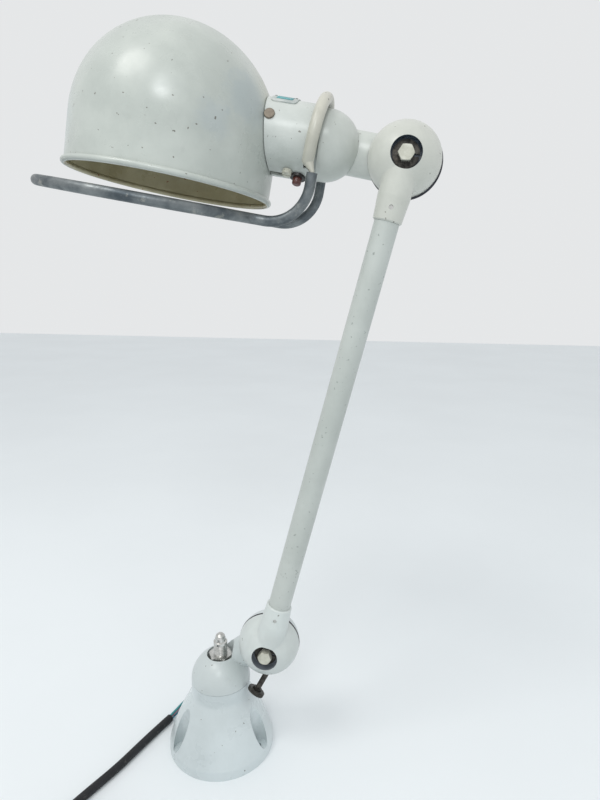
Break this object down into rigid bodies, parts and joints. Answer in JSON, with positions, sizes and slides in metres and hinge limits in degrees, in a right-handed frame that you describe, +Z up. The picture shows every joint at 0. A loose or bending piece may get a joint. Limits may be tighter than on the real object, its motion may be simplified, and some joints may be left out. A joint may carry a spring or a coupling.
{
  "type": "desk lamp",
  "caption": "Single-arm workshop desk lamp with ball joints, a swivelling bell base and a domed shade with a ring handle.",
  "frame": {"origin": "centre of the base screw circle, on the underside of the base", "axes": "+Z up along the swivel axis of the base; +X toward the lower ball joint at rest; the joint bolts lie along Y with their heads toward -Y"},
  "size_m": [0.2998, 0.3014, 0.5909],
  "materials": {
    "cream_steel": "matte, mottled",
    "cream_casting": "matte paint, mottled",
    "cream_tube": "matte, mottled",
    "cream_bolt": "matte",
    "bare_rod": "worn, satin",
    "bright_steel": "satin",
    "dark_steel": "oiled",
    "contact_brass": "satin",
    "cap_metal": "satin",
    "black_rubber": "matte",
    "blue_cover": "matte",
    "brown_cover": "matte",
    "earth_cover": "matte",
    "board": "matte",
    "white_plastic": "matte",
    "dark_plastic": "matte",
    "button_red": "satin",
    "plate_metal": "satin",
    "plate_colour": "enamel",
    "bulb_glass": "frosted"
  },
  "bodies": {
    "base": {"base_bell": "cream_steel", "swivel_stud": "bright_steel", "stud_nuts": "bright_steel", "swivel_washer": "bright_steel", "cable_grommet": "black_rubber", "terminal_block": "white_plastic", "terminal_screws": "bright_steel", "blue_wire": "blue_cover", "brown_wire": "brown_cover", "earth_wire": "earth_cover", "swivel_contact_disc": "board", "swivel_contact_rings": "contact_brass", "power_cord": "black_rubber", "cord_coil": "black_rubber", "cord_tie": "dark_plastic", "mains_plug": "black_rubber", "plug_pins": "bright_steel"},
    "swivel_link": {"link_casting": "cream_casting", "swivel_brush_plate": "board", "swivel_brushes": "contact_brass", "lower_contact_disc": "board", "lower_contact_rings": "contact_brass", "lower_pivot_bolt": "cream_bolt", "lower_spring_washer": "dark_steel", "lower_pivot_nut": "cream_bolt"},
    "lock_screw": {"lock_screw": "dark_steel"},
    "arm": {"lower_half_ball": "cream_casting", "upper_half_ball": "cream_casting", "arm_tube": "cream_tube", "arm_wires": "brown_cover", "socket_screws": "bright_steel", "lower_brush_carrier": "board", "upper_brush_carrier": "board", "lower_brushes": "contact_brass", "upper_brushes": "contact_brass"},
    "head_link": {"head_link_casting": "cream_casting", "upper_contact_disc": "board", "upper_contact_rings": "contact_brass", "upper_pivot_bolt": "cream_bolt", "upper_spring_washer": "dark_steel", "upper_pivot_nut": "cream_bolt", "swivel_nipple": "bright_steel", "nipple_nuts": "bright_steel"},
    "head": {"collar": "cream_steel", "shade": "cream_steel", "collar_rivets": "bright_steel", "blank_plate": "plate_metal", "plate_field": "plate_colour", "plate_rivets": "bright_steel", "lamp_holder": "white_plastic", "holder_bracket": "bright_steel", "holder_contact": "contact_brass", "bulb_cap": "cap_metal", "bulb_glass": "bulb_glass", "switch_body": "dark_plastic", "clamp_screw": "cream_bolt", "ring_handle": "bare_rod", "handle_arch": "cream_steel"},
    "switch_button": {"switch_button": "button_red"}
  },
  "joints": [
    {"name": "base_swivel", "type": "hinge", "parent": "base", "child": "swivel_link", "pos_m": [0, 0, 0.065], "axis": [0, 0, 1], "range_deg": [-170, 170]},
    {"name": "lock_screw_turn", "type": "hinge", "parent": "swivel_link", "child": "lock_screw", "pos_m": [0.0338, -0.009, 0.0605], "axis": [0.4728, 0.3447, 0.8109], "continuous": true},
    {"name": "arm_tilt", "type": "hinge", "parent": "swivel_link", "child": "arm", "pos_m": [0.045, -0.006, 0.108], "axis": [0, 1, 0], "range_deg": [-94, 81]},
    {"name": "head_tilt", "type": "hinge", "parent": "arm", "child": "head_link", "pos_m": [0.14177, -0.006, 0.49612], "axis": [0, 1, 0], "range_deg": [-40, 150]},
    {"name": "head_swivel", "type": "hinge", "parent": "head_link", "child": "head", "pos_m": [0.08292, 0, 0.50791], "axis": [0.9851, 0, -0.1719], "range_deg": [-170, 170]},
    {"name": "switch_press", "type": "slide", "parent": "head", "child": "switch_button", "axis": [0.1644, 0.2924, 0.9421], "range_m": [0, 0.0025], "stiffness_N_per_m": 300}
  ]
}
